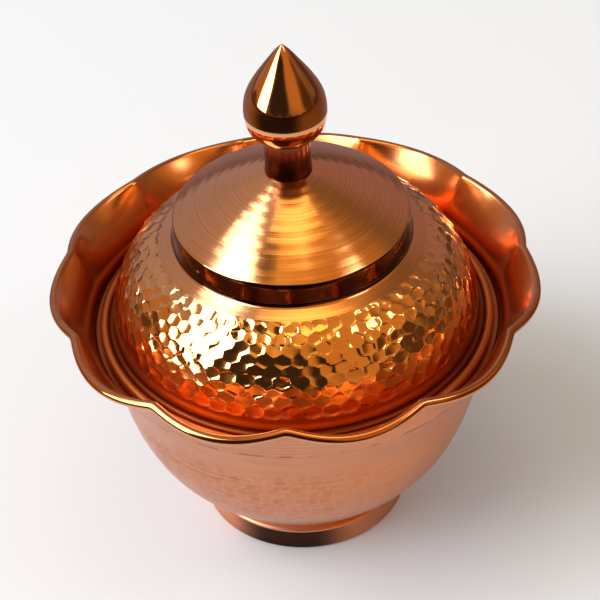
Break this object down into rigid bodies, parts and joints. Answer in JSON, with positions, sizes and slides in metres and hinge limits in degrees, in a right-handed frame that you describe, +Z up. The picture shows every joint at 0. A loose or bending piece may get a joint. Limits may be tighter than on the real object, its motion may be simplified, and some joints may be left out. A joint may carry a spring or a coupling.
{
  "type": "lidded copper sweet bowl",
  "caption": "Footed round copper bowl with a flared scalloped rolled rim and a hammered domed lid that lifts off by a drop-shaped finial.",
  "frame": {"origin": "on the turning axis, in the plane that the foot stands on", "axes": "+Z up along the turning axis, towards the finial's tip; -Y is the front"},
  "size_m": [0.1496, 0.1495, 0.1705],
  "materials": {
    "hammered_copper": "satin, lacquered, lightly hammered",
    "burnished_copper": "burnished, lacquered",
    "polished_copper": "polished, lacquered",
    "lid_copper": "hammered facets below a satin turned cap, lacquered",
    "mirror_copper": "mirror polished, lacquered",
    "zinc_steel": "bright zinc"
  },
  "bodies": {
    "bowl": {"cup": "hammered_copper", "collar": "burnished_copper", "foot_ring": "polished_copper"},
    "lid": {"lid_shell": "lid_copper", "finial": "mirror_copper", "finial_screw": "zinc_steel", "plain_washer": "zinc_steel", "spring_washer": "zinc_steel"}
  },
  "joints": [
    {"name": "lid_lift", "type": "slide", "parent": "bowl", "child": "lid", "axis": [0, 0, 1], "range_m": [0, 0.1]}
  ]
}
